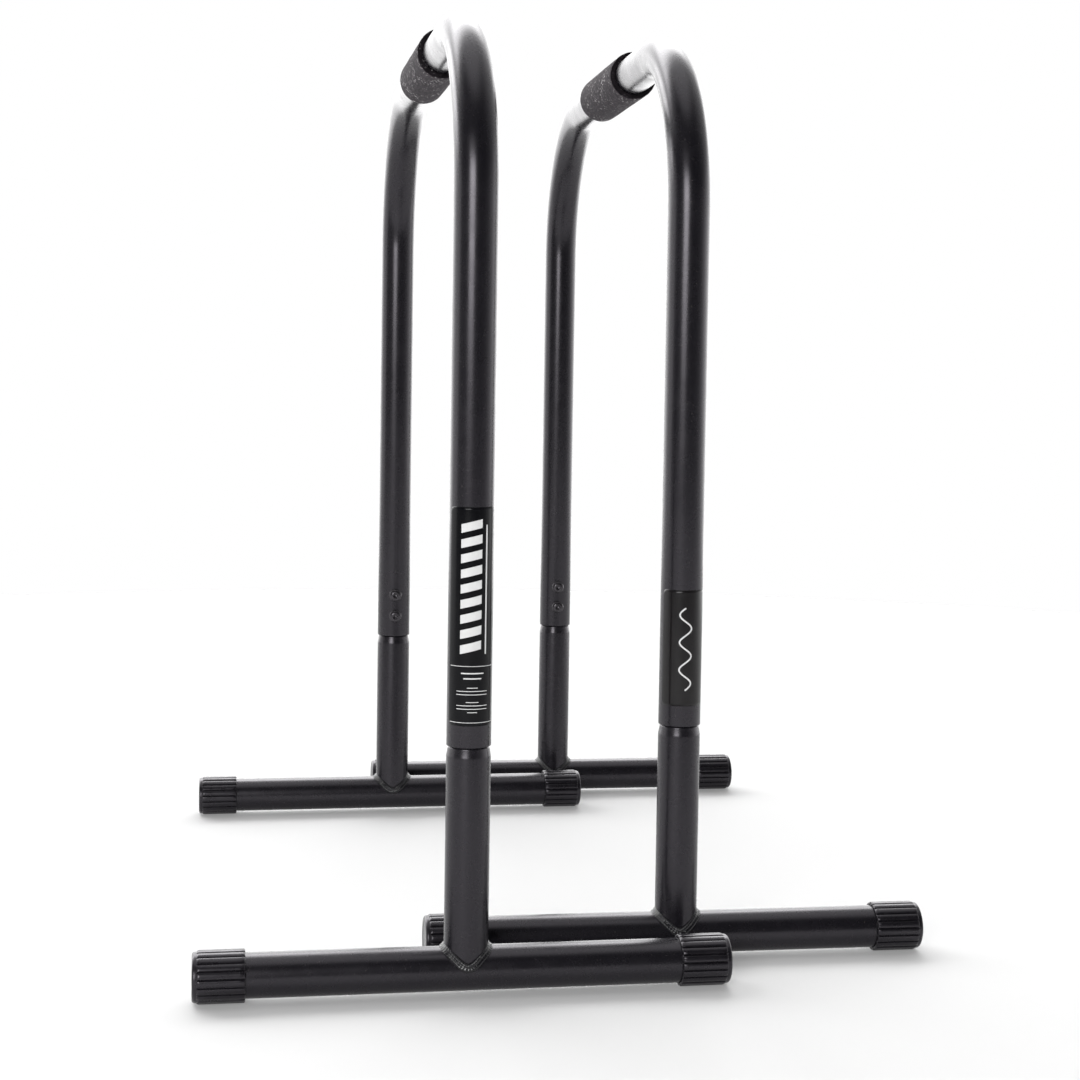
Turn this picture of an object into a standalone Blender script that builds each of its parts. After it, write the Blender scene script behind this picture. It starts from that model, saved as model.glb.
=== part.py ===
"""A pair of free-standing parallel bars for dips, push-ups and rows.

Each bar is an upside-down U of round steel tube with a foam grip on its handle. Its two legs slide
over the spigots of two lower posts and are held by two screws each. Every post is welded on a short
foot tube with a ribbed rubber cap on each end. The two bars are the same and stand on their own, side
by side, with their feet interleaved.

Metres. +X runs along the feet, +Y along the handles, +Z up. The origin is on the floor, under the
middle of the pair.
"""

import math

import bmesh
import bpy
from mathutils import Matrix, Vector

# Steel tube, the same for the legs, the handle and the feet
TUBE_R = 0.016
WALL = 0.002
SIDES = 20              # facets round every tube and turned piece
GAP = 0.0003            # clearance between pieces that touch

# Upper frame
HANDLE_Z = 0.704        # height of the handle's axis
LEG_SPACING = 0.590     # between the axes of the two legs
BEND_R = 0.136          # radius of the tube's axis in each bend
BEND_STEPS = 8

# Foam grip on the middle of the handle
GRIP_LENGTH = 0.150
GRIP_WALL = 0.004
GRIP_CHAMFER = 0.0008

# Lower post with the spigot that the leg slides over
JOINT_Z = 0.180         # lower edge of the leg
SHOULDER = 0.006        # height of the rounded shoulder below it
SHOULDER_STEPS = 3
SPIGOT_R = TUBE_R - WALL - GAP
SPIGOT_LENGTH = 0.075

# Foot tube and its rubber caps
FOOT_LENGTH = 0.387     # over both caps
CAP_REST_R = 0.0186     # from the foot's axis to the flat of a rib, which rests on the floor
CAP_LENGTH = 0.037
CAP_END = 0.004         # thickness of the closed end
CAP_NOSE = 0.0045       # length of the taper towards the closed end
CAP_NOSE_IN = 0.0016    # how far that taper goes in
RIB_LENGTH = 0.0315
GROOVE = 0.0009         # half the diagonal of the square notch between two ribs
FOOT_Z = CAP_REST_R     # height of the foot's axis

# Fillet weld round the post's base
BEAD_R = 0.0034
BEAD_LIFT = 0.0007      # how far the bead's centre line stands off the corner
BEAD_STEPS = 24
BEAD_SIDES = 8

# Button-head screws and the nuts welded in the spigot, both M6
SCREW_Z = (0.2005, 0.2215)
SCREW_HOLE_R = 0.0033
SCREW_SHANK_R = 0.0027
SCREW_LENGTH = 0.012
HEAD_R = 0.00625
HEAD_HEIGHT = 0.0033
DOME_EDGE = math.radians(56)    # where the dome ends in the flat round the socket
SOCKET_R = 0.0023
SOCKET_DEPTH = 0.002
NUT_R = 0.00577
NUT_BORE_R = 0.003
NUT_HEIGHT = 0.005
FASTENER_SIDES = 12

# Adhesive label on the front of each near leg
LABEL_Z = 0.196         # its lower edge
LABEL_HEIGHTS = {"left": 0.155, "right": 0.088}
LABEL_ANGLE = math.radians(140)
LABEL_THICKNESS = 0.0003
LABEL_STEPS = 10

# Where the right bar stands, measured from the left one
RIGHT_OFFSET = Vector((0.1713, 0.0703, 0.0))
RIGHT_YAW = math.radians(-0.72)

QUARTER = math.pi / 2
HALF_TURN = Matrix.Rotation(math.pi, 4, "Z")

# From a leg's axis to the face of the nuts, whose corners clear the spigot's inner flats
NUT_SEAT = math.sqrt(((SPIGOT_R - WALL) * math.cos(math.pi / SIDES)) ** 2 - NUT_R ** 2) - GAP


def around(radius, sides=SIDES):
    """Corner radius of a polygon whose flats are at this radius."""
    return radius / math.cos(math.pi / sides)


def material(name, colour, roughness, metallic=0.0):
    made = bpy.data.materials.new(name)
    made.use_nodes = True
    shader = made.node_tree.nodes["Principled BSDF"]
    shader.inputs["Base Color"].default_value = (*colour, 1.0)
    shader.inputs["Roughness"].default_value = roughness
    shader.inputs["Metallic"].default_value = metallic
    return made


def add_object(name, data, collection):
    made = bpy.data.objects.new(name, data)
    collection.objects.link(made)
    return made


def turned(profile, closed, sides=SIDES):
    """A solid of revolution about Z, from (radius, z) points that run down its outer side."""
    mesh = bpy.data.meshes.new("turned")
    edges = [(i, i + 1) for i in range(len(profile) - 1)]
    if closed:
        edges.append((len(profile) - 1, 0))
    mesh.from_pydata([(radius, 0.0, z) for radius, z in profile], edges, [])
    solid = add_object("turned", mesh, bench)
    screw = solid.modifiers.new("turn", "SCREW")
    screw.steps = screw.render_steps = sides
    screw.use_merge_vertices = True
    screw.merge_threshold = 0.00001
    return solid


def rod(points, radius, sides, cyclic=False):
    """A solid round rod along the points."""
    curve = bpy.data.curves.new("rod", "CURVE")
    curve.dimensions = "3D"
    curve.bevel_depth = radius
    curve.bevel_resolution = (sides - 4) // 2
    curve.use_fill_caps = not cyclic
    spline = curve.splines.new("POLY")
    spline.points.add(len(points) - 1)
    for place, point in zip(spline.points, points):
        place.co = (*point, 1.0)
    spline.use_cyclic_u = cyclic
    return add_object("rod", settled(add_object("rod", curve, bench)), bench)


def prisms(places, radius, depth, sides):
    """Prisms with their axes at these matrices, all in one object."""
    shell = bmesh.new()
    for matrix in places:
        bmesh.ops.create_cone(
            shell, cap_ends=True, segments=sides, radius1=radius, radius2=radius,
            depth=depth, matrix=matrix)
    mesh = bpy.data.meshes.new("prisms")
    shell.to_mesh(mesh)
    shell.free()
    return add_object("prisms", mesh, bench)


def cut(solid, cutter):
    cutter.hide_render = True
    cutter.display_type = "WIRE"
    boolean = solid.modifiers.new("cut", "BOOLEAN")
    boolean.operation = "DIFFERENCE"
    boolean.solver = "EXACT"
    boolean.object = cutter


def settled(solid):
    """The object's finished mesh, smooth up to its sharp edges. The object itself goes."""
    bpy.context.view_layer.update()
    mesh = bpy.data.meshes.new_from_object(solid.evaluated_get(bpy.context.evaluated_depsgraph_get()))
    shell = bmesh.new()
    shell.from_mesh(mesh)
    bmesh.ops.remove_doubles(shell, verts=shell.verts, dist=0.000005)
    bmesh.ops.recalc_face_normals(shell, faces=shell.faces)
    shell.to_mesh(mesh)
    shell.free()
    mesh.shade_smooth()
    mesh.set_sharp_from_angle(angle=math.radians(35))
    bpy.data.objects.remove(solid)
    return mesh


def along_x(x=0.0, z=0.0):
    return Matrix.Translation((x, 0.0, z)) @ Matrix.Rotation(QUARTER, 4, "Y")


def frame_path(overshoot=0.0):
    """The upper frame's axis: up the near leg, along the handle and down the far leg."""
    half = LEG_SPACING / 2
    turn = [i * QUARTER / BEND_STEPS for i in range(BEND_STEPS + 1)]
    near = [
        Vector((0.0, BEND_R - half - BEND_R * math.cos(a), HANDLE_Z - BEND_R + BEND_R * math.sin(a)))
        for a in turn]
    far = [Vector((0.0, -point.y, point.z)) for point in reversed(near)]
    foot = JOINT_Z - overshoot
    return [Vector((0.0, -half, foot)), *near, *far, Vector((0.0, half, foot))]


def screw_places(reach):
    """Matrices on the screws' axes of a leg at y = 0 that face +Y, at this distance from its axis."""
    return [Matrix.Translation((0.0, reach, z)) @ Matrix.Rotation(-QUARTER, 4, "X") for z in SCREW_Z]


def upper_frame():
    tube = rod(frame_path(), TUBE_R, SIDES)
    cut(tube, rod(frame_path(overshoot=0.01), TUBE_R - WALL, SIDES))
    near_leg = Matrix.Translation((0.0, -LEG_SPACING / 2, 0.0))
    holes = [stand @ seat for stand in (near_leg, HALF_TURN @ near_leg) for seat in screw_places(TUBE_R)]
    cut(tube, prisms(holes, SCREW_HOLE_R, TUBE_R, FASTENER_SIDES))
    return settled(tube)


def foam_grip():
    half = GRIP_LENGTH / 2
    outer = TUBE_R + GAP + GRIP_WALL
    inner = around(TUBE_R + GAP)
    sleeve = turned([
        (outer - GRIP_CHAMFER, half), (outer, half - GRIP_CHAMFER),
        (outer, GRIP_CHAMFER - half), (outer - GRIP_CHAMFER, -half),
        (inner, -half), (inner, half)], closed=True)
    return settled(sleeve)


def post():
    """Lower post about Z, its screw holes facing +Y and its base coped to sit on the foot tube."""
    top = JOINT_Z + SPIGOT_LENGTH
    edge = JOINT_Z - GAP
    swage = TUBE_R - SPIGOT_R
    shoulder = [
        (SPIGOT_R + swage * math.sin(a), edge - SHOULDER * (1 - math.cos(a)))
        for a in (i * QUARTER / SHOULDER_STEPS for i in range(SHOULDER_STEPS + 1))]
    tube = turned([
        (SPIGOT_R, top), *shoulder, (TUBE_R, FOOT_Z),
        (TUBE_R - WALL, FOOT_Z), (TUBE_R - WALL, edge - SHOULDER),
        (SPIGOT_R - WALL, edge), (SPIGOT_R - WALL, top)], closed=True)
    cut(tube, prisms([along_x(z=FOOT_Z)], around(TUBE_R + GAP), 4 * TUBE_R, SIDES))
    cut(tube, prisms(screw_places(TUBE_R), SCREW_HOLE_R, TUBE_R, FASTENER_SIDES))
    return settled(tube)


def foot_tube():
    half = FOOT_LENGTH / 2 - CAP_END - GAP
    tube = turned([
        (TUBE_R, half), (TUBE_R, -half), (TUBE_R - WALL, -half), (TUBE_R - WALL, half)], closed=True)
    return settled(tube)


def weld_bead():
    """Fillet weld along the saddle-shaped line where the post meets the foot tube."""
    seam = TUBE_R + GAP
    line = []
    for i in range(BEAD_STEPS):
        a = 2 * math.pi * (i + 0.5) / BEAD_STEPS
        rise = math.sqrt((seam + BEAD_LIFT) ** 2 - (seam * math.sin(a)) ** 2)
        line.append(Vector((seam * math.cos(a), seam * math.sin(a), FOOT_Z + rise)))
    bead = rod(line, BEAD_R, BEAD_SIDES, cyclic=True)
    upright = Matrix.Translation((0.0, 0.0, FOOT_Z)) @ Matrix.Rotation(math.pi / SIDES, 4, "Z")
    cut(bead, prisms([upright], around(seam), 6 * TUBE_R, SIDES))
    cut(bead, prisms([along_x(z=FOOT_Z)], around(seam), 4 * TUBE_R, SIDES))
    return settled(bead)


def end_cap():
    """Ribbed rubber cup about Z, open at z = 0. Its ribs are the flats of a polygon, notched apart."""
    outer = around(CAP_REST_R)
    bore = around(TUBE_R + GAP)
    cup = turned([
        (0.0, CAP_LENGTH), (outer - CAP_NOSE_IN, CAP_LENGTH),
        (outer, CAP_LENGTH - CAP_NOSE), (outer, 0.0),
        (bore, 0.0), (bore, CAP_LENGTH - CAP_END), (0.0, CAP_LENGTH - CAP_END)], closed=False)
    corners = [
        Matrix.Rotation(2 * math.pi * i / SIDES, 4, "Z") @ Matrix.Translation((outer, 0.0, 0.0))
        for i in range(SIDES)]
    cut(cup, prisms(corners, GROOVE, 2 * RIB_LENGTH, 4))
    return settled(cup)


def screw():
    """Button-head screw about Z, its head resting on z = 0."""
    dome = [
        (HEAD_R * math.cos(a), HEAD_HEIGHT * math.sin(a) / math.sin(DOME_EDGE))
        for a in (DOME_EDGE, DOME_EDGE / 2, 0.0)]
    body = turned([
        (0.0, HEAD_HEIGHT), *dome, (SCREW_SHANK_R, 0.0), (SCREW_SHANK_R, -SCREW_LENGTH),
        (0.0, -SCREW_LENGTH)], closed=False, sides=FASTENER_SIDES)
    cut(body, prisms([Matrix.Translation((0.0, 0.0, HEAD_HEIGHT))], SOCKET_R, 2 * SOCKET_DEPTH, 6))
    return settled(body)


def nut():
    """Hexagon nut about Z, its outer face on z = 0."""
    body = prisms([Matrix.Translation((0.0, 0.0, -NUT_HEIGHT / 2))], NUT_R, NUT_HEIGHT, 6)
    cut(body, prisms([Matrix()], NUT_BORE_R, 4 * NUT_HEIGHT, FASTENER_SIDES))
    return settled(body)


def label(height):
    """A thin curved sheet round the front of a leg at y = 0, centred on -Y."""
    radius = around(TUBE_R + GAP, 2 * SIDES) + LABEL_THICKNESS / 2
    mesh = bpy.data.meshes.new("label")
    mesh.from_pydata([(radius, 0.0, LABEL_Z), (radius, 0.0, LABEL_Z + height)], [(0, 1)], [])
    mesh.transform(Matrix.Rotation(-QUARTER - LABEL_ANGLE / 2, 4, "Z"))
    sheet = add_object("label", mesh, bench)
    screw = sheet.modifiers.new("sweep", "SCREW")
    screw.angle = LABEL_ANGLE
    screw.steps = screw.render_steps = LABEL_STEPS
    solidify = sheet.modifiers.new("thickness", "SOLIDIFY")
    solidify.thickness = LABEL_THICKNESS
    solidify.offset = 0.0
    return settled(sheet)


def place(name, mesh, finish, base, matrix):
    """Stands a copy of the mesh on a bar, at this matrix in the bar's own frame."""
    piece = add_object(name, mesh, bars)
    if not mesh.materials:
        mesh.materials.append(finish)
    piece.parent = base
    piece.matrix_local = matrix


def build_bar(side, base, meshes, finishes):
    """All the pieces of one bar, around an empty on the floor between its feet."""
    black, foam, rubber, oxide, vinyl = finishes
    place(f"{side}_upper_frame", meshes["upper_frame"], black, base, Matrix())
    place(f"{side}_foam_grip", meshes["foam_grip"], foam, base,
          Matrix.Translation((0.0, 0.0, HANDLE_Z)) @ Matrix.Rotation(QUARTER, 4, "X"))
    near_leg = Matrix.Translation((0.0, -LEG_SPACING / 2, 0.0))
    place(f"{side}_label", label(LABEL_HEIGHTS[side]), vinyl, base, near_leg)
    for leg, stand in (("near", near_leg), ("far", HALF_TURN @ near_leg)):
        place(f"{side}_{leg}_post", meshes["post"], black, base, stand)
        place(f"{side}_{leg}_foot_tube", meshes["foot_tube"], black, base, stand @ along_x(z=FOOT_Z))
        place(f"{side}_{leg}_weld_bead", meshes["weld_bead"], black, base, stand)
        seats = zip(("lower", "upper"), screw_places(TUBE_R + GAP), screw_places(NUT_SEAT))
        for row, screw_seat, nut_seat in seats:
            place(f"{side}_{leg}_{row}_screw", meshes["screw"], oxide, base, stand @ screw_seat)
            place(f"{side}_{leg}_{row}_nut", meshes["nut"], oxide, base, stand @ nut_seat)
        outward = 1.0 if leg == "near" else -1.0
        for end, turn in (("right_cap", outward), ("left_cap", -outward)):
            x = turn * (FOOT_LENGTH / 2 - CAP_LENGTH)
            aim = Matrix.Rotation(turn * QUARTER, 4, "Y") @ Matrix.Rotation(math.pi / SIDES, 4, "Z")
            cap = stand @ Matrix.Translation((x, 0.0, FOOT_Z)) @ aim
            place(f"{side}_{leg}_{end}", meshes["end_cap"], rubber, base, cap)


def centre_pair(bases):
    """Moves both bars so that the middle of the pair's box is over the origin."""
    bpy.context.view_layer.update()
    corners = [piece.matrix_world @ vertex.co for piece in bars.objects if piece.type == "MESH"
               for vertex in piece.data.vertices]
    for axis in (0, 1):
        values = [corner[axis] for corner in corners]
        middle = (min(values) + max(values)) / 2
        for base in bases:
            base.location[axis] -= middle


for old in list(bpy.data.objects):
    bpy.data.objects.remove(old, do_unlink=True)
bars = bpy.data.collections.new("parallel_bars")
bench = bpy.data.collections.new("cutters")
bpy.context.scene.collection.children.link(bars)
bpy.context.scene.collection.children.link(bench)

piece_finishes = (
    material("satin_black_steel", (0.02, 0.02, 0.022), 0.38, 0.3),
    material("charcoal_foam", (0.07, 0.062, 0.07), 0.9),
    material("black_rubber", (0.018, 0.018, 0.02), 0.6),
    material("black_oxide", (0.03, 0.03, 0.03), 0.35, 0.8),
    material("black_vinyl", (0.012, 0.012, 0.013), 0.25),
)
piece_meshes = {
    "upper_frame": upper_frame(), "foam_grip": foam_grip(), "post": post(), "foot_tube": foot_tube(),
    "weld_bead": weld_bead(), "end_cap": end_cap(), "screw": screw(), "nut": nut(),
}

left_base = add_object("left_bar", None, bars)
right_base = add_object("right_bar", None, bars)
half_spacing = Vector((0.0, LEG_SPACING / 2, 0.0))
right_turn = Matrix.Rotation(RIGHT_YAW, 4, "Z")
left_base.location = half_spacing
right_base.location = RIGHT_OFFSET + right_turn @ half_spacing
right_base.rotation_euler.z = RIGHT_YAW
build_bar("left", left_base, piece_meshes, piece_finishes)
build_bar("right", right_base, piece_meshes, piece_finishes)
centre_pair((left_base, right_base))
for spare in list(bench.objects):
    bpy.data.objects.remove(spare)
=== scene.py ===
"""Looks for a pair of free-standing parallel bars.

Everything is in metres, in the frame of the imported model. Each bar is an upside-down U of coated
steel tube whose legs slide over two posts, welded on foot tubes with ribbed rubber caps. Fine
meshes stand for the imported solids, at their places; only the nuts in the legs stay as they are.
"""

import math

import bmesh
import bpy
import numpy as np
from mathutils import Matrix, Vector, noise


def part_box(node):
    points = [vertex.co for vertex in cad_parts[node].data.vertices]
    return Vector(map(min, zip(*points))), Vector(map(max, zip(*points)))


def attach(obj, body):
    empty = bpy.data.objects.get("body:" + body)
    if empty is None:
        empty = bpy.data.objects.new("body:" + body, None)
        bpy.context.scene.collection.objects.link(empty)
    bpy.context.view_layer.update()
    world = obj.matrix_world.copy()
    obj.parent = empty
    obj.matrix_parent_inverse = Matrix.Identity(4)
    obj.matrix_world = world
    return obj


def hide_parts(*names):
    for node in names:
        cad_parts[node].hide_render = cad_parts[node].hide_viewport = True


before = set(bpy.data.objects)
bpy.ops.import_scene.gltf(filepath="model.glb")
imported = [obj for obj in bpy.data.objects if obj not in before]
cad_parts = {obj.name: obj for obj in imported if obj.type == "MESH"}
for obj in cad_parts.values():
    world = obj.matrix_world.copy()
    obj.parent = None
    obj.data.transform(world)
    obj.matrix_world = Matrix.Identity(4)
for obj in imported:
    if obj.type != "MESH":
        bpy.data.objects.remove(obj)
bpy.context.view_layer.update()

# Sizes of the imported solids
TUBE_R = 0.016
WALL = 0.002
GAP = 0.0003                # between two pieces that touch or slide
HANDLE_Z = 0.704            # axis of the handle
BEND_R = 0.136              # of the tube's axis
GRIP_LENGTH = 0.150
GRIP_WALL = 0.004
JOINT_Z = 0.180             # lower end of the upper tube
SPIGOT_LENGTH = 0.075
FOOT_LENGTH = 0.387         # over the caps
FOOT_Z = 0.0186             # axis of the foot tubes
CAP_LENGTH = 0.037
CAP_END = 0.004             # thickness of a cap's closed end
CAP_REST_R = 0.0186         # over the ribs
SCREW_Z = (0.2005, 0.2215)  # lower and upper screw of a leg
SCREW_LENGTH = 0.012
HEAD_R = 0.00625
HEAD_HEIGHT = 0.0033
LABEL_Z = 0.196             # lower edge of both labels
LABEL_HEIGHTS = {"left": 0.155, "right": 0.088}
LABEL_ANGLE = math.radians(140)

GRIP_R = TUBE_R + GAP + GRIP_WALL
BORE_R = TUBE_R - WALL
SPIGOT_R = BORE_R - GAP
SNUG_R = TUBE_R + GAP / 3           # bore of a piece that sits tight on a tube

# Sizes of the fine meshes only
SHOULDER = 0.0072                   # height of the swage under the joint
SHOULDER_ROUND = 0.0016             # height of its rounding, above the cone
CONE_IN = 0.0011                    # how far the cone draws the tube in
LABEL_R = TUBE_R + 0.00012          # outer face of the vinyl
PRINT_R = LABEL_R + 0.00003         # outer face of the ink
VINYL_THICKNESS = 0.00009
INK_THICKNESS = 0.00002
LABEL_CORNER = 0.0025
POINT_R = 0.00002                   # a ring this small closes a turned surface on its axis

# Fineness of the visible meshes
TUBE_SIDES = 96
BEND_STEPS = 56
EDGE_STEPS = 5
MERGE_WITHIN = 0.000002
SHARP_ANGLE = math.radians(40)

FULL_TURN = 2 * math.pi
QUARTER = math.pi / 2
TURNED_ROUND = Matrix.Rotation(math.pi, 4, "Z")


# ---------------------------------------------------------------- where the bars stand

def centre(node):
    low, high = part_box(node)
    return (low + high) / 2


def moved(x, y, z):
    return Matrix.Translation((x, y, z))


def bar_place(side):
    """The matrix from a bar's own frame, which is on the floor between its feet."""
    near, far = centre(f"{side}_near_post"), centre(f"{side}_far_post")
    middle, backwards = (near + far) / 2, far - near
    yaw = math.atan2(-backwards.x, backwards.y)
    return moved(middle.x, middle.y, 0.0) @ Matrix.Rotation(yaw, 4, "Z")


BAR_PLACES = {side: bar_place(side) for side in ("left", "right")}
# A leg's distance from the middle of its bar
LEG_Y = (centre("left_far_post") - centre("left_near_post")).xy.length / 2


# ---------------------------------------------------------------- meshes

def mesh_object(name, vertices, faces):
    """An object with its doubles merged, its normals out, and smooth up to its sharp edges."""
    mesh = bpy.data.meshes.new(name)
    mesh.from_pydata(vertices, [], faces)
    shell = bmesh.new()
    shell.from_mesh(mesh)
    bmesh.ops.remove_doubles(shell, verts=shell.verts, dist=MERGE_WITHIN)
    bmesh.ops.dissolve_degenerate(shell, edges=shell.edges, dist=MERGE_WITHIN / 2)
    bmesh.ops.recalc_face_normals(shell, faces=shell.faces)
    shell.to_mesh(mesh)
    shell.free()
    mesh.shade_smooth()
    mesh.set_sharp_from_angle(angle=SHARP_ANGLE)
    made = bpy.data.objects.new(name, mesh)
    bpy.context.scene.collection.objects.link(made)
    return made


def closed_object(name, rings):
    """The closed surface through rings of points, where the last ring joins the first."""
    rings = np.asarray(rings, float)
    count, around = rings.shape[:2]
    faces = []
    for i in range(count):
        below, above = i * around, ((i + 1) % count) * around
        for j in range(around):
            k = (j + 1) % around
            faces.append((below + j, below + k, above + k, above + j))
    return mesh_object(name, rings.reshape(-1, 3).tolist(), faces)


def angles_round(sides):
    return np.arange(sides) * FULL_TURN / sides


def circle(sides):
    angles = angles_round(sides)
    return np.cos(angles), np.sin(angles)


def arc(middle, radius, start, end, steps):
    """Points (a, b) of an arc round the middle, from start to end in degrees, ends included."""
    angles = [math.radians(start + (end - start) * i / steps) for i in range(steps + 1)]
    return [(middle[0] + radius * math.cos(a), middle[1] + radius * math.sin(a)) for a in angles]


def level_ring(radius, z, c, s):
    """A ring about Z; radius is one number, or one for each point."""
    return np.stack([radius * c, radius * s, np.full(len(c), z)], axis=1)


def turned_rings(profile, sides):
    """Rings about Z from (radius, z) points."""
    c, s = circle(sides)
    return [level_ring(radius, z, c, s) for radius, z in profile]


def upper_tube(name):
    """The upside-down U: one hollow bent tube with rounded cut edges, in the plane x = 0."""
    c, s = circle(TUBE_SIDES)
    turns = [i * QUARTER / BEND_STEPS for i in range(BEND_STEPS + 1)]
    # A station is a point (y, z) of the axis and the way (y, z) from there to the outer side
    stations = [((BEND_R - LEG_Y - BEND_R * math.cos(a), HANDLE_Z - BEND_R + BEND_R * math.sin(a)),
                 (-math.cos(a), math.sin(a))) for a in turns]
    stations += [((-y, z), (-ny, nz)) for (y, z), (ny, nz) in reversed(stations)]

    def ring_at(station, radius):
        (y, z), (ny, nz) = station
        return np.stack([radius * c, y + radius * s * ny, z + radius * s * nz], axis=1)

    def leg_ring(direction, radius, z):
        return ring_at(((direction * LEG_Y, z), (direction, 0.0)), radius)

    outer_round, inner_round = 0.0007, 0.0004
    mouth = arc((BORE_R + inner_round, JOINT_Z + inner_round), inner_round, 180, 270, EDGE_STEPS)
    mouth += arc((TUBE_R - outer_round, JOINT_Z + outer_round), outer_round, 270, 360, EDGE_STEPS)
    rings = [leg_ring(-1, radius, z) for radius, z in mouth]
    rings += [ring_at(station, TUBE_R) for station in stations]
    rings += [leg_ring(1, radius, z) for radius, z in reversed(mouth)]
    rings += [ring_at(station, BORE_R) for station in reversed(stations)]
    return closed_object(name, rings)


def lower_post(name):
    """A post about Z: coped base, straight tube, swaged shoulder and the narrower spigot."""
    c, s = circle(TUBE_SIDES)
    edge = JOINT_Z - GAP
    top = JOINT_Z + SPIGOT_LENGTH
    round_steps, tip = 10, 0.0005
    # Easing at the foot of the cone: heights above it, how far in, and a run-out below it
    eased, eased_in, run_out = (0.0010, 0.0004), 0.00003, 0.0006
    rounding = TUBE_R - SPIGOT_R - CONE_IN
    shoulder = [(SPIGOT_R + rounding * math.sin(a), edge - SHOULDER_ROUND * (1 - math.cos(a)))
                for a in (i * QUARTER / round_steps for i in range(round_steps + 1))]
    shoulder += [(TUBE_R - CONE_IN * lift / SHOULDER - eased_in, edge - SHOULDER + lift)
                 for lift in eased]
    shoulder.append((TUBE_R, edge - SHOULDER - run_out))
    outside = [*reversed(shoulder), (SPIGOT_R, top - tip)]
    outside += arc((SPIGOT_R - tip, top - tip), tip, 0, 90, EDGE_STEPS)
    inside = [(SPIGOT_R - WALL, top), (SPIGOT_R - WALL, edge), (BORE_R, edge - SHOULDER)]

    def coped(radius):
        y = radius * s
        z = FOOT_Z + np.sqrt(SNUG_R ** 2 - y ** 2)
        return np.stack([radius * c, y, z], axis=1)

    return closed_object(name, [coped(TUBE_R), *turned_rings(outside, TUBE_SIDES),
                                *turned_rings(inside, TUBE_SIDES), coped(BORE_R)])


def cross_tube(name):
    """A foot tube about Z, open at both ends inside its caps."""
    half = FOOT_LENGTH / 2 - CAP_END - GAP
    profile = [(TUBE_R, half), (TUBE_R, -half), (BORE_R, -half), (BORE_R, half)]
    return closed_object(name, turned_rings(profile, TUBE_SIDES))


def weld(name, seed):
    """A rippled fillet weld along the saddle line where a post meets its foot tube."""
    steps, sides = 480, 32
    bead = 0.0033                       # radius of the bead
    lift, fill = 0.0006, 0.0030         # how high the seam lies, and how far its V is filled
    settle = 0.3                        # how far it sinks again, as a share of fill
    squat = 0.92                        # the bead's height to its width
    pitch, lean = 0.0019, 0.5           # of the ripples
    hollow_depth, hollow_spread = 0.36, 0.55
    ripple_depth, grain_depth = 0.10, 0.05
    width_change, wander_reach = 0.10, 0.00035
    width_rate, wander_rate, grain_rate = 160, 90, 700      # per metre
    seam, outward = [], []
    for i in range(steps):
        a = FULL_TURN * i / steps
        y = TUBE_R * math.sin(a)
        rise = math.sqrt((TUBE_R + lift) ** 2 - y ** 2)
        rise = math.hypot(rise, fill) - settle * fill
        seam.append(Vector((TUBE_R * math.cos(a), y, rise)))
        from_post = Vector((math.cos(a), math.sin(a), 0.0))
        outward.append(from_post + Vector((0.0, y, rise)).normalized())
    rings, travel = [], 0.0
    for i, (point, out) in enumerate(zip(seam, outward)):
        ahead, behind = seam[(i + 1) % steps], seam[i - 1]
        tangent = (ahead - behind).normalized()
        travel += (point - behind).length if i else 0.0
        out = (out - tangent * out.dot(tangent)).normalized()
        across = tangent.cross(out)
        width = 1.0 + width_change * noise.noise(Vector((travel * width_rate, seed, 0.0)))
        wander = across * (
            wander_reach * noise.noise(Vector((travel * wander_rate, seed, 7.0))))
        ring = []
        for j in range(sides):
            b = FULL_TURN * j / sides
            off_crown = b if b <= math.pi else b - FULL_TURN
            beat = travel / pitch - lean * math.cos(b)
            ripple = abs((beat % 1.0) - 0.5) * 2
            grain = noise.noise(point * grain_rate + Vector((seed, b, 0.0)))
            hollow = hollow_depth * math.exp(-(off_crown / hollow_spread) ** 2)
            r = bead * width * (1.0 - hollow + ripple_depth * ripple ** 1.5 + grain_depth * grain)
            spot = point + wander + (out * math.cos(b) * squat + across * math.sin(b)) * r
            ring.append((spot.x, spot.y, spot.z + FOOT_Z))
        rings.append(ring)
    return closed_object(name, rings)


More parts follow.
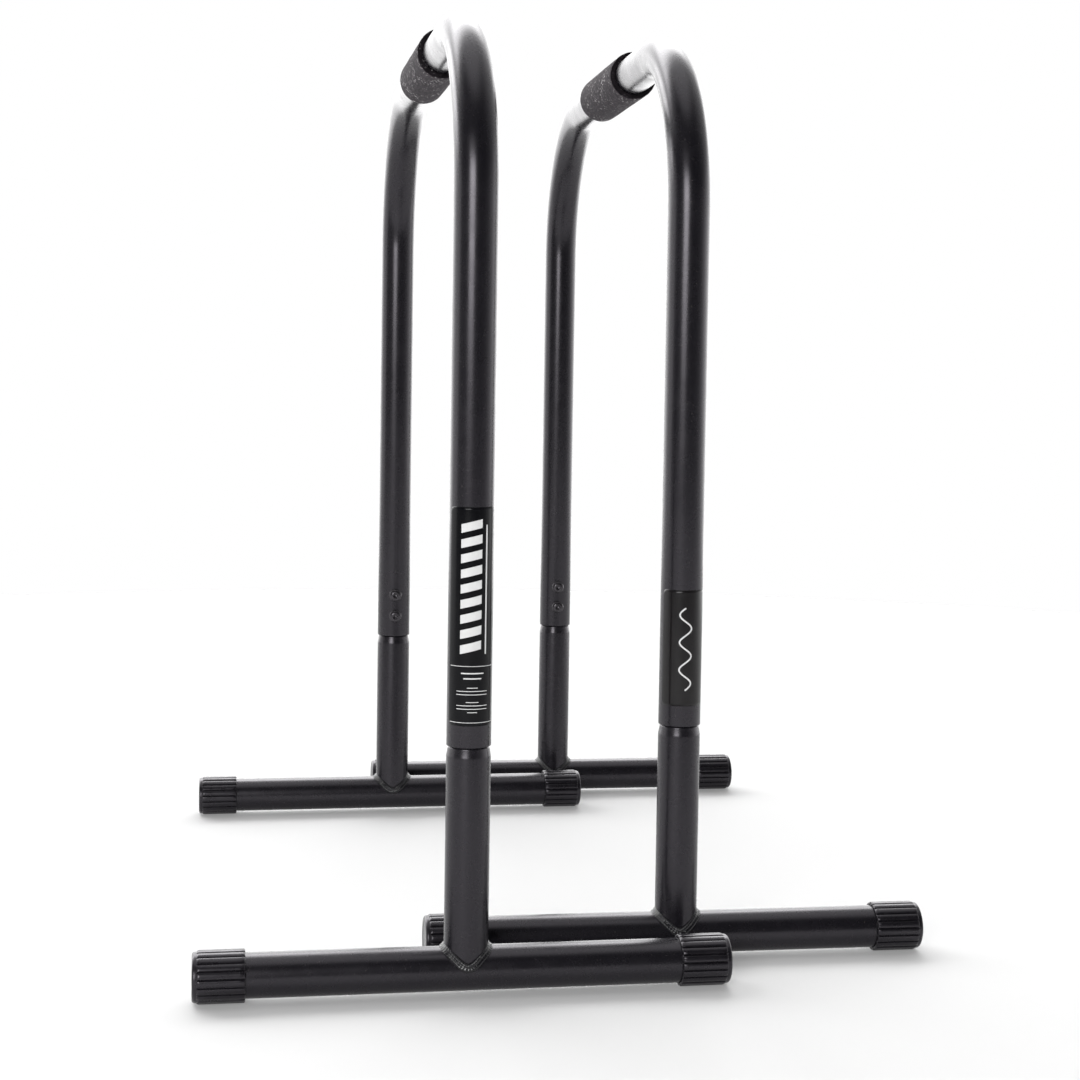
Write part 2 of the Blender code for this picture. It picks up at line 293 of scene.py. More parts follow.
def rubber_cap(name):
    """A ribbed cup about Z, open at z = 0, with twenty ribs that fade into a smooth nose."""
    ribs = 20
    floor_r = 0.0176                    # between the ribs
    nose_r, nose_steps = 0.0020, 8
    rib_end, rib_fade = 0.0336, 0.0019
    mouth_in, mouth_height = 0.0004, 0.0007
    dish_rim, dish_r, dish_depth = 0.0142, 0.0136, 0.0003
    crown_fall, crown_edge, notch_depth = 0.00024, 0.35, 0.00045
    # Places across a rib are in rib pitches from its crown; the groove's middle is at half of one
    flank_at, flank_width = 0.36, 0.10
    notch_at, notch_width = 0.42, 0.05
    spots = (-0.5, -0.46, -0.43, -0.40, -0.37, -0.335, -0.29, -0.20, -0.10,
             0.0, 0.10, 0.20, 0.29, 0.335, 0.37, 0.40, 0.43, 0.46)
    angles = np.array([k + spot for k in range(ribs) for spot in spots]) * FULL_TURN / ribs
    c, s = np.cos(angles), np.sin(angles)
    u = np.abs(np.tile(np.array(spots), ribs))
    flank = np.clip((u - flank_at) / flank_width, 0.0, 1.0)
    rib_height = (CAP_REST_R - floor_r) * (1 - flank * flank * (3 - 2 * flank))
    crown = np.maximum(rib_height - crown_fall * (u / crown_edge) ** 2, 0.0)
    crown = crown - notch_depth * np.clip((u - notch_at) / notch_width, 0.0, 1.0)

    # The outside, from the mouth to the nose, as (radius, z, how much of the ribs shows)
    outside = [(floor_r - mouth_in * (1 - math.sin(t * QUARTER)), mouth_height * t,
                0.55 + 0.45 * t) for t in (0.0, 0.15, 0.4, 0.7, 1.0)]
    outside += [(floor_r, z, 1.0) for z in (0.004, 0.010, 0.017, 0.024, 0.0285)]
    outside += [(floor_r, rib_end - rib_fade + rib_fade * t, math.sqrt(max(0.0, 1 - t * t)))
                for t in (0.0, 0.2, 0.4, 0.55, 0.7, 0.82, 0.92, 1.0)]
    outside += [(floor_r, 0.0342, 0.0), (floor_r, CAP_LENGTH - nose_r, 0.0)]
    for t in range(1, nose_steps + 1):
        a = t * QUARTER / nose_steps
        outside.append((floor_r - nose_r * (1 - math.cos(a)),
                        CAP_LENGTH - nose_r * (1 - math.sin(a)), 0.0))
    dish = CAP_LENGTH - dish_depth
    outside += [(dish_rim, CAP_LENGTH, 0.0), (dish_r, dish, 0.0), (0.006, dish, 0.0),
                (POINT_R, dish, 0.0)]
    inner_end = CAP_LENGTH - CAP_END
    inside = [(POINT_R, inner_end), (SNUG_R, inner_end), (SNUG_R, 0.0006), (SNUG_R + 0.0004, 0.0)]
    rings = [level_ring(radius, z, c, s) for radius, z in inside]
    rings += [level_ring(radius + crown * share, z, c, s) for radius, z, share in outside]
    return closed_object(name, rings)


def foam_sleeve(name, seed):
    """A foam sleeve about Z with soft rounded ends and the slightly uneven skin of cut foam."""
    sides, length_steps = 160, 96
    soft, soft_steps = 0.0012, 6
    bore_round, bore_edge, end_ring = 0.0005, 0.0004, 0.0018
    end_margin = 0.004
    # Unevenness of the skin, as (height, how often per metre)
    swells, pits, ends = (0.00016, 45), (0.00009, 420), (0.00008, 300)
    half = GRIP_LENGTH / 2
    profile = arc((GRIP_R - soft, half - soft), soft, 90, 0, soft_steps)
    profile += [(GRIP_R, z)
                for z in np.linspace(half - end_margin, end_margin - half, length_steps)]
    profile += arc((GRIP_R - soft, soft - half), soft, 0, -90, soft_steps)
    profile += [(SNUG_R + end_ring, -half), (SNUG_R + bore_edge, -half),
                (SNUG_R, bore_round - half), (SNUG_R, half - bore_round),
                (SNUG_R + bore_edge, half), (SNUG_R + end_ring, half)]
    rings = turned_rings(profile, sides)
    for (radius, _), ring in zip(profile, rings):
        if radius <= SNUG_R:
            continue
        for point in ring:
            spot = Vector(point) + Vector((seed, 0.0, 0.0))
            proud = sum(height * noise.noise(spot * rate) for height, rate in (swells, pits))
            point[:2] *= 1 + proud / radius
            point[2] += ends[0] * noise.noise(spot * ends[1])
    return closed_object(name, rings)


def button_screw(name):
    """A button-head screw about Z: domed head on z = 0, bevelled hexagon socket, plain shank."""
    sides, dome_steps = 72, 14
    shank_r, tip = 0.0027, 0.0004
    brim_in, brim_up = 0.0003, 0.0002
    rim, socket_rim = 0.0004, 0.0030
    half_flats = 0.0020                 # half the socket's width across its flats
    c, s = circle(sides)
    hexagon = half_flats / np.cos((angles_round(sides) % (math.pi / 3)) - math.pi / 6)
    # The dome is part of an ellipse, up to one radian of it
    dome = [(HEAD_R * math.cos(a), rim + (HEAD_HEIGHT - rim) * math.sin(a) / math.sin(1.0))
            for a in (i * 1.0 / dome_steps for i in range(dome_steps + 1))]
    profile = [(POINT_R, -SCREW_LENGTH), (shank_r - tip, -SCREW_LENGTH),
               (shank_r, -SCREW_LENGTH + tip), (shank_r, 0.0), (HEAD_R - brim_in, 0.0),
               (HEAD_R, brim_up), *dome, (socket_rim, HEAD_HEIGHT)]
    rings = turned_rings(profile, sides)
    # The socket's hexagon, as (how much wider, how deep)
    socket = ((0.00025, 0.0), (0.00008, 0.0001), (0.0, 0.0003), (0.0, 0.0018), (-0.0002, 0.0020))
    rings += [level_ring(hexagon + wider, HEAD_HEIGHT - depth, c, s) for wider, depth in socket]
    rings += turned_rings([(0.0010, HEAD_HEIGHT - 0.0023), (POINT_R, HEAD_HEIGHT - 0.0026)], sides)
    return closed_object(name, rings)


# ---------------------------------------------------------------- labels

def on_leg(place, z, radius):
    """The point of a cylinder about Z at an arc's length from its front, and at a height."""
    a = -QUARTER + place / radius
    return radius * math.cos(a), radius * math.sin(a), z


def thin_sheet(name, vertices, faces, thickness):
    """A sheet with thickness behind its face."""
    made = mesh_object(name, vertices, faces)
    solidify = made.modifiers.new("thickness", "SOLIDIFY")
    solidify.thickness = thickness
    solidify.offset = -1.0
    return made


def label_sheet(name, columns):
    """The vinyl round a leg. A column is (arc from the front, lowest z, highest z)."""
    row_height = 0.002
    rows = max(2, int(max(high - low for _, low, high in columns) / row_height))
    vertices = [on_leg(place, low + (high - low) * k / rows, LABEL_R)
                for place, low, high in columns for k in range(rows + 1)]
    faces = []
    for i in range(len(columns) - 1):
        for k in range(rows):
            start = i * (rows + 1) + k
            faces.append((start, start + rows + 1, start + rows + 2, start + 1))
    return thin_sheet(name, vertices, faces, VINYL_THICKNESS)


def rounded_columns(half, low, high, corner):
    """Columns of a rectangle with rounded corners, closer together near its sides."""
    corner_steps, middle_steps = 7, 40
    inset = [corner * (1 - math.cos(i * QUARTER / corner_steps)) for i in range(corner_steps + 1)]
    places = [-half + d for d in inset]
    places += list(np.linspace(-half + corner, half - corner, middle_steps)[1:-1])
    places += [half - d for d in reversed(inset)]
    columns = []
    for place in places:
        near = min(place + half, half - place)
        drop = corner - math.sqrt(max(0.0, corner ** 2 - (corner - min(near, corner)) ** 2))
        columns.append((place, low + drop, high - drop))
    return columns


def printed(name, bands):
    """Thin raised ink on the label. A band is two edges, each a list of (arc, z) points."""
    across = 10
    vertices, faces = [], []
    for first, second in bands:
        base = len(vertices)
        for (a1, z1), (a2, z2) in zip(first, second):
            for k in range(across + 1):
                place, z = a1 + (a2 - a1) * k / across, z1 + (z2 - z1) * k / across
                vertices.append(on_leg(place, z, PRINT_R))
        for i in range(len(first) - 1):
            for k in range(across):
                start = base + i * (across + 1) + k
                faces.append((start, start + 1, start + across + 2, start + across + 1))
    return thin_sheet(name, vertices, faces, INK_THICKNESS)


def straight_band(start, end, width, steps=30):
    """A band of even width from start to end, both (arc, z)."""
    along = Vector((end[0] - start[0], end[1] - start[1])).normalized()
    aside = Vector((-along.y, along.x)) * width / 2
    middle = [Vector(start).lerp(Vector(end), i / steps) for i in range(steps + 1)]
    return [tuple(p - aside) for p in middle], [tuple(p + aside) for p in middle]


def slanted_band(left, right, low, height, slant):
    """A parallelogram whose lower and upper edges rise from left to right."""
    steps = 30
    lower = [(left + (right - left) * i / steps, low + slant * i / steps)
             for i in range(steps + 1)]
    return lower, [(place, z + height) for place, z in lower]


def wave_band(low, high, reach, waves, width):
    """A band of even width that swings from side to side as it rises."""
    steps = 200
    points = [Vector((reach * math.sin(FULL_TURN * waves * i / steps),
                      low + (high - low) * i / steps)) for i in range(steps + 1)]
    edges = ([], [])
    for i, point in enumerate(points):
        along = (points[min(i + 1, steps)] - points[max(i - 1, 0)]).normalized()
        aside = Vector((-along.y, along.x)) * width / 2
        edges[0].append(tuple(point - aside))
        edges[1].append(tuple(point + aside))
    return edges


# ---------------------------------------------------------------- materials

def new_material(name, base=None, roughness=None, metallic=0.0):
    """A material; a base colour or roughness that isn't given here is linked by its maker."""
    made = bpy.data.materials.new(name)
    made.use_nodes = True
    tree = made.node_tree
    shader = tree.nodes["Principled BSDF"]
    if base is not None:
        shader.inputs["Base Color"].default_value = (*base, 1.0)
    if roughness is not None:
        shader.inputs["Roughness"].default_value = roughness
    shader.inputs["Metallic"].default_value = metallic
    coordinates = tree.nodes.new("ShaderNodeTexCoord")
    return made, tree, shader, coordinates.outputs["Object"]


def noise_node(tree, vector, scale, detail, roughness=0.5):
    made = tree.nodes.new("ShaderNodeTexNoise")
    made.inputs["Scale"].default_value = scale
    made.inputs["Detail"].default_value = detail
    made.inputs["Roughness"].default_value = roughness
    tree.links.new(vector, made.inputs["Vector"])
    return made.outputs["Fac"]


def remap(tree, value, low, high, to_low=0.0, to_high=1.0):
    made = tree.nodes.new("ShaderNodeMapRange")
    made.inputs["From Min"].default_value = low
    made.inputs["From Max"].default_value = high
    made.inputs["To Min"].default_value = to_low
    made.inputs["To Max"].default_value = to_high
    tree.links.new(value, made.inputs["Value"])
    return made.outputs["Result"]


def product(tree, first, second):
    made = tree.nodes.new("ShaderNodeMath")
    made.operation = "MULTIPLY"
    for socket, value in zip(made.inputs, (first, second)):
        if isinstance(value, float):
            socket.default_value = value
        else:
            tree.links.new(value, socket)
    return made.outputs[0]


def mixed(tree, share, first, second):
    """Colour mix; first and second are colours or sockets."""
    made = tree.nodes.new("ShaderNodeMix")
    made.data_type = "RGBA"
    tree.links.new(share, made.inputs["Factor"])
    for socket, value in ((made.inputs[6], first), (made.inputs[7], second)):
        if isinstance(value, tuple):
            socket.default_value = (*value, 1.0)
        else:
            tree.links.new(value, socket)
    return made.outputs[2]


def bump(tree, shader, height, strength, distance, after=None):
    made = tree.nodes.new("ShaderNodeBump")
    made.inputs["Strength"].default_value = strength
    made.inputs["Distance"].default_value = distance
    tree.links.new(height, made.inputs["Height"])
    if after is not None:
        tree.links.new(after, made.inputs["Normal"])
    tree.links.new(made.outputs["Normal"], shader.inputs["Normal"])
    return made.outputs["Normal"]


COAT_TONES = (0.0066, 0.0061, 0.0082), (0.0090, 0.0083, 0.0106)
COAT_DUST = (0.034, 0.031, 0.031)
RUBBER_TONES = (0.0052, 0.0046, 0.0064), (0.0092, 0.0084, 0.0106)
FOAM_TONES = (0.0142, 0.0110, 0.0142), (0.0470, 0.0382, 0.0465)
FOAM_FLECK = (0.62, 0.60, 0.60)
OXIDE_TONE = (0.060, 0.056, 0.062)
WELD_TONE = (0.0078, 0.0072, 0.0092)
INK_TONES = (0.74, 0.74, 0.74), (0.82, 0.82, 0.82)
VIOLET_GLOSS = (0.97, 0.92, 1.0, 1.0)       # faint tint of the light that coat and rubber reflect


def powder_coat():
    """Satin black, a little cloudy, with fine grain and a few pale specks of dust."""
    made, tree, shader, spot = new_material("satin_powder_coat")
    cloud = noise_node(tree, spot, 14.0, 4.0)
    grain = noise_node(tree, spot, 420.0, 3.0)
    speck = remap(tree, noise_node(tree, spot, 620.0, 1.0, 0.3), 0.73, 0.79)
    tone = mixed(tree, remap(tree, cloud, 0.3, 0.7), *COAT_TONES)
    tree.links.new(mixed(tree, speck, tone, COAT_DUST), shader.inputs["Base Color"])
    shader.inputs["Specular Tint"].default_value = VIOLET_GLOSS
    rough = remap(tree, noise_node(tree, spot, 60.0, 5.0, 0.6), 0.25, 0.75, 0.23, 0.31)
    tree.links.new(rough, shader.inputs["Roughness"])
    bump(tree, shader, grain, 0.02, 0.0003)
    return made


def rubber():
    """Moulded rubber, a little cloudy and finely grained."""
    made, tree, shader, spot = new_material("moulded_rubber")
    cloud = noise_node(tree, spot, 70.0, 4.0)
    tone = mixed(tree, remap(tree, cloud, 0.3, 0.7), *RUBBER_TONES)
    tree.links.new(tone, shader.inputs["Base Color"])
    shader.inputs["Specular Tint"].default_value = VIOLET_GLOSS
    rough = remap(tree, noise_node(tree, spot, 130.0, 4.0), 0.25, 0.75, 0.24, 0.34)
    tree.links.new(rough, shader.inputs["Roughness"])
    bump(tree, shader, noise_node(tree, spot, 700.0, 3.0), 0.05, 0.0003)
    return made


def foam(name, shade, specks):
    """Foam of flecked grains; shade scales its tones, and a value below one paints shade; specks
    is how far its pale flecks show.
    """
    made, tree, shader, spot = new_material(name, roughness=0.92)
    cells = tree.nodes.new("ShaderNodeTexVoronoi")
    cells.inputs["Scale"].default_value = 780.0
    tree.links.new(spot, cells.inputs["Vector"])
    clumps = noise_node(tree, spot, 260.0, 4.0, 0.65)
    dark, light = (tuple(shade * c for c in tone) for tone in FOAM_TONES)
    tone = mixed(tree, remap(tree, clumps, 0.35, 0.72), dark, light)
    flecks = remap(tree, noise_node(tree, spot, 520.0, 1.0, 0.4), 0.625, 0.72, 0.0, specks)
    patches = remap(tree, noise_node(tree, spot, 48.0, 1.0), 0.42, 0.62, 0.12)
    colour = mixed(tree, product(tree, flecks, patches), tone, FOAM_FLECK)
    tree.links.new(colour, shader.inputs["Base Color"])
    pores = bump(tree, shader, cells.outputs["Distance"], 0.55, 0.0006)
    bump(tree, shader, clumps, 0.5, 0.0008, after=pores)
    shader.inputs["Specular IOR Level"].default_value = 0.12
    shader.inputs["Sheen Weight"].default_value = 0.03
    shader.inputs["Sheen Roughness"].default_value = 0.6
    return made


def glossy(name, tone, rough_scale, rough_detail, smoothest, roughest, bumps, metallic=0.0):
    """One tone with uneven gloss; bumps are (scale, detail, strength, distance)."""
    made, tree, shader, spot = new_material(name, tone, metallic=metallic)
    unevenness = noise_node(tree, spot, rough_scale, rough_detail)
    rough = remap(tree, unevenness, 0.3, 0.7, smoothest, roughest)
    tree.links.new(rough, shader.inputs["Roughness"])
    scale, detail, strength, distance = bumps
    bump(tree, shader, noise_node(tree, spot, scale, detail), strength, distance)
    return made


def black_oxide():
    return glossy("black_oxide_steel", OXIDE_TONE, 900.0, 3.0, 0.18, 0.32,
                  (1800.0, 2.0, 0.12, 0.0002), metallic=0.75)


def vinyl(name, tone, gloss):
    made = glossy(name, tone, 50.0, 4.0, 0.14, 0.26, (180.0, 2.0, 0.05, 0.0003))
    shader = made.node_tree.nodes["Principled BSDF"]
    shader.inputs["Specular IOR Level"].default_value = gloss
    return made


def weld_coat():
    """The powder coat over the weld: glossier, where it pools on the ripples."""
    return glossy("coated_weld", WELD_TONE, 300.0, 3.0, 0.07, 0.16, (800.0, 3.0, 0.15, 0.0003))


def white_ink():
    made, tree, shader, spot = new_material("white_ink", roughness=0.3)
    tone = mixed(tree, noise_node(tree, spot, 900.0, 3.0), *INK_TONES)
    tree.links.new(tone, shader.inputs["Base Color"])
    return made


COAT, RUBBER, OXIDE, WELD, INK = powder_coat(), rubber(), black_oxide(), weld_coat(), white_ink()
FOAM = foam("charcoal_foam", 1.0, 1.0)
# A darker copy of the foam with few pale flecks, for the sleeve's ends: painted shade
FOAM_SHADED_END = foam("foam_end_painted_shade", 0.35, 0.1)
VINYL = {"left": vinyl("gloss_vinyl", (0.004, 0.004, 0.0052), 0.17),
         "right": vinyl("clear_gloss_vinyl", (0.0085, 0.0074, 0.0080), 0.32)}


# ---------------------------------------------------------------- the two bars

def put(piece, matrix, body, slot_name, finish, *nodes):
    """Bakes a piece's place into its mesh; gives it its body, finish and CAD nodes. Its slot_name
    is not used.
    """
    piece.data.transform(matrix)
    piece.data.materials.clear()
    piece.data.materials.append(finish)
    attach(piece, body)
    if nodes:
        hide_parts(*nodes)


def build_grip(side, seed):
    """The foam sleeve on the handle; its two ends get a darker, barely flecked copy of the foam as
    painted shade.
    """
    facing_end = 0.72                   # a face this square to the handle is part of an end
    place = BAR_PLACES[side]
    grip = foam_sleeve(f"{side}_foam_sleeve", seed)
    along_handle = place @ moved(0.0, 0.0, HANDLE_Z) @ Matrix.Rotation(QUARTER, 4, "X")
    put(grip, along_handle, f"{side}_bar", "grip_foam", FOAM, f"{side}_foam_grip")
    grip.data.materials.append(FOAM_SHADED_END)
    along = (place @ Vector((0.0, 1.0, 0.0, 0.0))).xyz
    # The faces of both ends take the darker copy of the foam: painted shade
    for face in grip.data.polygons:
        if abs(face.normal.dot(along)) > facing_end:
            face.material_index = 1


def build_leg(side, leg, stand, seed, number):
    """All that is under and in one leg: post, foot tube, weld, caps, screws and nuts."""
    stem, body = f"{side}_{leg}", f"{side}_bar"
    level = stand @ moved(0.0, 0.0, FOOT_Z) @ Matrix.Rotation(QUARTER, 4, "Y")
    put(lower_post(f"{stem}_lower_tube"), stand, body, "satin_black_steel", COAT, f"{stem}_post")
    put(cross_tube(f"{stem}_cross_tube"), level, body, "satin_black_steel", COAT,
        f"{stem}_foot_tube")
    put(weld(f"{stem}_weld", seed + 3.0 * number), stand, body, "satin_black_steel", WELD,
        f"{stem}_weld_bead")
    # A far leg's own frame is turned round, so its right-hand cap is on its -X side
    right = 1.0 if leg == "near" else -1.0
    for end, turn in (("right", right), ("left", -right)):
        x = turn * (FOOT_LENGTH / 2 - CAP_LENGTH)
        aim = stand @ moved(x, 0.0, FOOT_Z) @ Matrix.Rotation(turn * QUARTER, 4, "Y")
        put(rubber_cap(f"{stem}_{end}_rubber"), aim, body, "cap_rubber", RUBBER,
            f"{stem}_{end}_cap")
    for row, height in zip(("lower", "upper"), SCREW_Z):
        seat = stand @ moved(0.0, TUBE_R + GAP, height) @ Matrix.Rotation(-QUARTER, 4, "X")
        # Each screw is left at its own angle
        spin = Matrix.Rotation(0.7 * seed + 0.4 * height * 100 + number, 4, "Z")
        put(button_screw(f"{stem}_{row}_button_screw"), seat @ spin, body, "black_fastener",
            OXIDE, f"{stem}_{row}_screw")
        for nut_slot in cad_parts[f"{stem}_{row}_nut"].material_slots:
            nut_slot.material = OXIDE


def build_bar(side, seed):
    place = BAR_PLACES[side]
    put(upper_tube(f"{side}_upper_tube"), place, f"{side}_bar", "satin_black_steel", COAT,
        f"{side}_upper_frame")
    build_grip(side, seed)
    build_leg(side, "near", place @ moved(0.0, -LEG_Y, 0.0), seed, 0)
    build_leg(side, "far", place @ TURNED_ROUND @ moved(0.0, -LEG_Y, 0.0), seed, 1)


PRINT_MARGIN_SIDE, PRINT_MARGIN_TOP = 0.0016, 0.0035
# Print of the long label: a lower panel of fine rules, and above it stripes beside a tall rule
PANEL_Z = (0.1985, 0.2385)
FINE = 0.0004
STRIPES, STRIPE_PITCH = 9, 0.0107
STRIPE_LEFT, STRIPE_RIGHT, STRIPE_Z = -0.0095, 0.0060, 0.247
STRIPE_HEIGHT, STRIPE_SLANT = 0.0062, 0.0038
TALL_RULE_X, TALL_RULE_TOP, TALL_RULE_WIDTH = 0.0098, 0.3385, 0.0012
# (height, half length, width)
RULES = ((0.2335, 0.0084, 0.0009), (0.2298, 0.0066, 0.0009), (0.2232, 0.0040, 0.0005),
         (0.2208, 0.0118, 0.0005), (0.2184, 0.0118, 0.0005), (0.2130, 0.0046, 0.0005),
         (0.2106, 0.0118, 0.0005), (0.2082, 0.0118, 0.0005), (0.2058, 0.0036, 0.0005))
# Print of the short label: one wave, up the middle
WAVE_BELOW, WAVE_ABOVE = 0.012, 0.010       # clear of it, on the label
WAVE_REACH, WAVES, WAVE_WIDTH = 0.0046, 3.0, 0.0012


def long_print(edge, top):
    """The bands of the long label, whose frame of fine rules reaches out to edge and up to top."""
    bottom, middle = PANEL_Z
    bands = [straight_band((-edge, bottom), (edge, bottom), FINE),
             straight_band((-edge, middle), (edge, middle), FINE),
             straight_band((edge, bottom), (edge, top), FINE, steps=60)]
    bands += [slanted_band(STRIPE_LEFT, STRIPE_RIGHT, STRIPE_Z + STRIPE_PITCH * i, STRIPE_HEIGHT,
                           STRIPE_SLANT) for i in range(STRIPES)]
    bands.append(straight_band((TALL_RULE_X, STRIPE_Z), (TALL_RULE_X, TALL_RULE_TOP),
                               TALL_RULE_WIDTH, steps=60))
    return bands + [straight_band((-reach, z), (reach, z), width) for z, reach, width in RULES]


def build_label(side):
    """The vinyl on the front of a near leg, with plain stripes and lines for its print."""
    place = BAR_PLACES[side] @ moved(0.0, -LEG_Y, 0.0)
    body = f"{side}_bar"
    half = LABEL_ANGLE / 2 * LABEL_R
    low, high = LABEL_Z, LABEL_Z + LABEL_HEIGHTS[side]
    sheet = label_sheet(f"{side}_vinyl", rounded_columns(half, low, high, LABEL_CORNER))
    put(sheet, place, body, "label_vinyl", VINYL[side], f"{side}_label")
    edge, top = half - PRINT_MARGIN_SIDE, high - PRINT_MARGIN_TOP
    if side == "left":
        bands = long_print(edge, top)
    else:
        bands = [wave_band(low + WAVE_BELOW, top - WAVE_ABOVE, WAVE_REACH, WAVES, WAVE_WIDTH)]
    put(printed(f"{side}_print", bands), place, body, "label_print", INK)


build_bar("left", 1.0)
build_bar("right", 11.0)
build_label("left")
build_label("right")


# ---------------------------------------------------------------- floor, light and camera

FLOOR_R = 2.3
FLOOR_WHITE = 0.49
FLOOR_GLOW = 0.19
FLOOR_DROP = 0.0001                     # under the caps' lowest ribs

# The room, as radiance that the bars reflect. Round the horizon: (degrees from +X towards +Y,
# share of the brightest)
ROOM = ((-180, 0.10), (-162, 0.08), (-140, 0.05), (-115, 0.02), (-70, 0.02), (-48, 0.05),
        (-30, 0.13), (-12, 0.36), (12, 0.75), (40, 1.0), (125, 1.0), (150, 0.50))
BRIGHTEST_WALL = 3.0
# Ranges below are in the Z of the direction: 0 at the horizon, 1 overhead
DIM_FROM, DIM_TO, DIM_SHARE = 0.10, 0.38, 0.30      # walls dim upwards, except behind
CEILING_FROM, CEILING_TO, CEILING = 0.84, 0.99, 1.3
BEHIND = (-0.225, 0.974, 0.0)
BEHIND_FROM, BEHIND_TO = 0.40, 0.62
BANK_LOW, BANK_HIGH = (0.50, 0.66), (0.94, 0.86)    # a bright bank, high up behind
LEFTWARD = (-0.695, 0.719, 0.0)
LEFTWARD_FROM, LEFTWARD_TO = 0.87, 0.92
PANEL_LOW, PANEL_HIGH = (0.20, 0.30), (0.54, 0.44)  # a bright panel, behind to the left
LAMP_RADIANCE = 8.0                                 # of bank and panel
SEEN_WHITE = 1.0                                    # what the camera sees past the floor

SOFTBOX_SPOT = (-1.56, -3.40, 1.35)
SOFTBOX_AIM = (-0.05, -0.3, 0.55)
SOFTBOX_SIZE = 1.6
SOFTBOX_WATTS = 82.0

CAMERA_SPOT = (-0.2687, -1.6786, 0.4416)
CAMERA_HEADING = 0.1675                 # to the right of +Y
CAMERA_TILT = 0.0527                    # below the horizon
CAMERA_ROLL = 0.0156
CAMERA_SENSOR = 36.0
CAMERA_LENS = 64.04
CAMERA_SHIFT = -0.0556


def build_floor():
    """A round white floor that glows a little, to be as pale as the backdrop."""
    mesh = bpy.data.meshes.new("floor")
    disc = bmesh.new()
    bmesh.ops.create_circle(disc, cap_ends=True, segments=128, radius=FLOOR_R)
    disc.to_mesh(mesh)
    disc.free()
    white = bpy.data.materials.new("floor_white")
    white.use_nodes = True
    shader = white.node_tree.nodes["Principled BSDF"]
    shader.inputs["Base Color"].default_value = (*(FLOOR_WHITE,) * 3, 1.0)
    shader.inputs["Roughness"].default_value = 0.8
    shader.inputs["Specular IOR Level"].default_value = 0.2
    shader.inputs["Emission Color"].default_value = (1.0, 1.0, 1.0, 1.0)
    shader.inputs["Emission Strength"].default_value = FLOOR_GLOW
    mesh.materials.append(white)
    floor = bpy.data.objects.new("floor", mesh)
    bpy.context.scene.collection.objects.link(floor)
    floor.location.z = -FLOOR_DROP


def smooth(tree, value, low, high, to_low=0.0, to_high=1.0):
    made = remap(tree, value, low, high, to_low, to_high)
    made.node.interpolation_type = "SMOOTHSTEP"
    return made


def blend(tree, share, first, second):
    """Number mix; first is a socket, second a number or a socket."""
    made = tree.nodes.new("ShaderNodeMix")
    tree.links.new(share, made.inputs[0])
    tree.links.new(first, made.inputs[2])
    if isinstance(second, float):
        made.inputs[3].default_value = second
    else:
        tree.links.new(second, made.inputs[3])
    return made.outputs[0]


def towards(tree, direction, axis):
    """How far a direction points along a level axis."""
    made = tree.nodes.new("ShaderNodeVectorMath")
    made.operation = "DOT_PRODUCT"
    made.inputs[1].default_value = axis
    tree.links.new(direction, made.inputs[0])
    return made.outputs["Value"]


def wall_brightness(tree, split):
    """The walls' radiance round the horizon, from ROOM."""
    azimuth = tree.nodes.new("ShaderNodeMath")
    azimuth.operation = "ARCTAN2"
    tree.links.new(split.outputs["Y"], azimuth.inputs[0])
    tree.links.new(split.outputs["X"], azimuth.inputs[1])
    ramp = tree.nodes.new("ShaderNodeValToRGB")
    tree.links.new(remap(tree, azimuth.outputs[0], -math.pi, math.pi), ramp.inputs["Fac"])
    elements = ramp.color_ramp.elements
    ramp.color_ramp.interpolation = "EASE"
    while len(elements) < len(ROOM):
        elements.new(0.5)
    for element, (degrees, share) in zip(elements, ROOM):
        element.position = (degrees + 180) / 360
        element.color = (share, share, share, 1.0)
    return product(tree, ramp.outputs["Color"], BRIGHTEST_WALL)


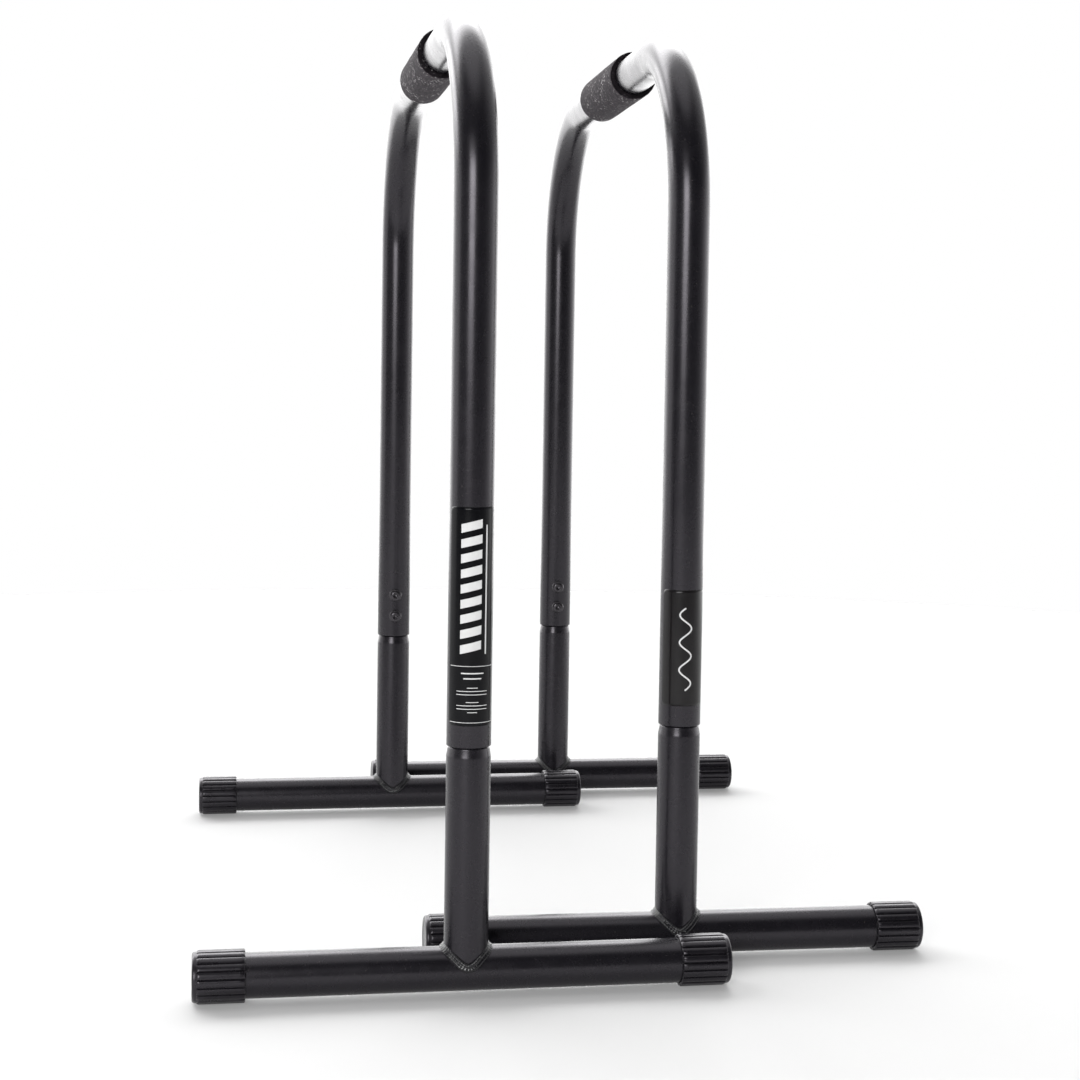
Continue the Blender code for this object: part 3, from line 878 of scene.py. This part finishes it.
def build_room():
    """The world: a white room to reflect, and plain white where the camera itself looks at it."""
    world = bpy.data.worlds.new("studio")
    bpy.context.scene.world = world
    world.use_nodes = True
    tree = world.node_tree
    direction = tree.nodes.new("ShaderNodeTexCoord").outputs["Generated"]
    split = tree.nodes.new("ShaderNodeSeparateXYZ")
    tree.links.new(direction, split.inputs["Vector"])
    height = split.outputs["Z"]
    walls = wall_brightness(tree, split)
    behind = smooth(tree, towards(tree, direction, BEHIND), BEHIND_FROM, BEHIND_TO)
    dimmed = smooth(tree, height, DIM_FROM, DIM_TO, 1.0, DIM_SHARE)
    walls = product(tree, walls, blend(tree, behind, dimmed, 1.0))
    room = blend(tree, smooth(tree, height, CEILING_FROM, CEILING_TO), walls, CEILING)
    bank = product(tree, product(tree, behind, smooth(tree, height, *BANK_LOW)),
                   smooth(tree, height, *BANK_HIGH))
    room = blend(tree, bank, room, LAMP_RADIANCE)
    leftward = smooth(tree, towards(tree, direction, LEFTWARD), LEFTWARD_FROM, LEFTWARD_TO)
    panel = product(tree, product(tree, leftward, smooth(tree, height, *PANEL_LOW)),
                    smooth(tree, height, *PANEL_HIGH))
    room = blend(tree, panel, room, LAMP_RADIANCE)
    path = tree.nodes.new("ShaderNodeLightPath")
    background = tree.nodes["Background"]
    background.inputs["Color"].default_value = (1.0, 1.0, 1.0, 1.0)
    tree.links.new(blend(tree, path.outputs["Is Camera Ray"], room, SEEN_WHITE),
                   background.inputs["Strength"])


def build_softbox():
    """The one lamp, in front to the left."""
    data = bpy.data.lights.new("left_strip", "AREA")
    data.shape = "RECTANGLE"
    data.size = data.size_y = SOFTBOX_SIZE
    data.energy = SOFTBOX_WATTS
    lamp = bpy.data.objects.new("left_strip", data)
    bpy.context.scene.collection.objects.link(lamp)
    lamp.location = SOFTBOX_SPOT
    aim = Vector(SOFTBOX_AIM) - Vector(SOFTBOX_SPOT)
    lamp.rotation_euler = aim.to_track_quat("-Z", "Y").to_euler()


def build_camera():
    lens = bpy.data.cameras.new("camera")
    lens.sensor_width = CAMERA_SENSOR
    lens.lens = CAMERA_LENS
    lens.shift_y = CAMERA_SHIFT
    lens.clip_start, lens.clip_end = 0.05, 200.0
    camera = bpy.data.objects.new("camera", lens)
    bpy.context.scene.collection.objects.link(camera)
    camera.matrix_world = (
        Matrix.Translation(CAMERA_SPOT) @ Matrix.Rotation(-CAMERA_HEADING, 4, "Z")
        @ Matrix.Rotation(QUARTER - CAMERA_TILT, 4, "X") @ Matrix.Rotation(CAMERA_ROLL, 4, "Z"))
    bpy.context.scene.camera = camera


build_floor()
build_room()
build_softbox()
build_camera()
bpy.context.scene.view_settings.view_transform = "Standard"
bpy.context.scene.view_settings.look = "None"
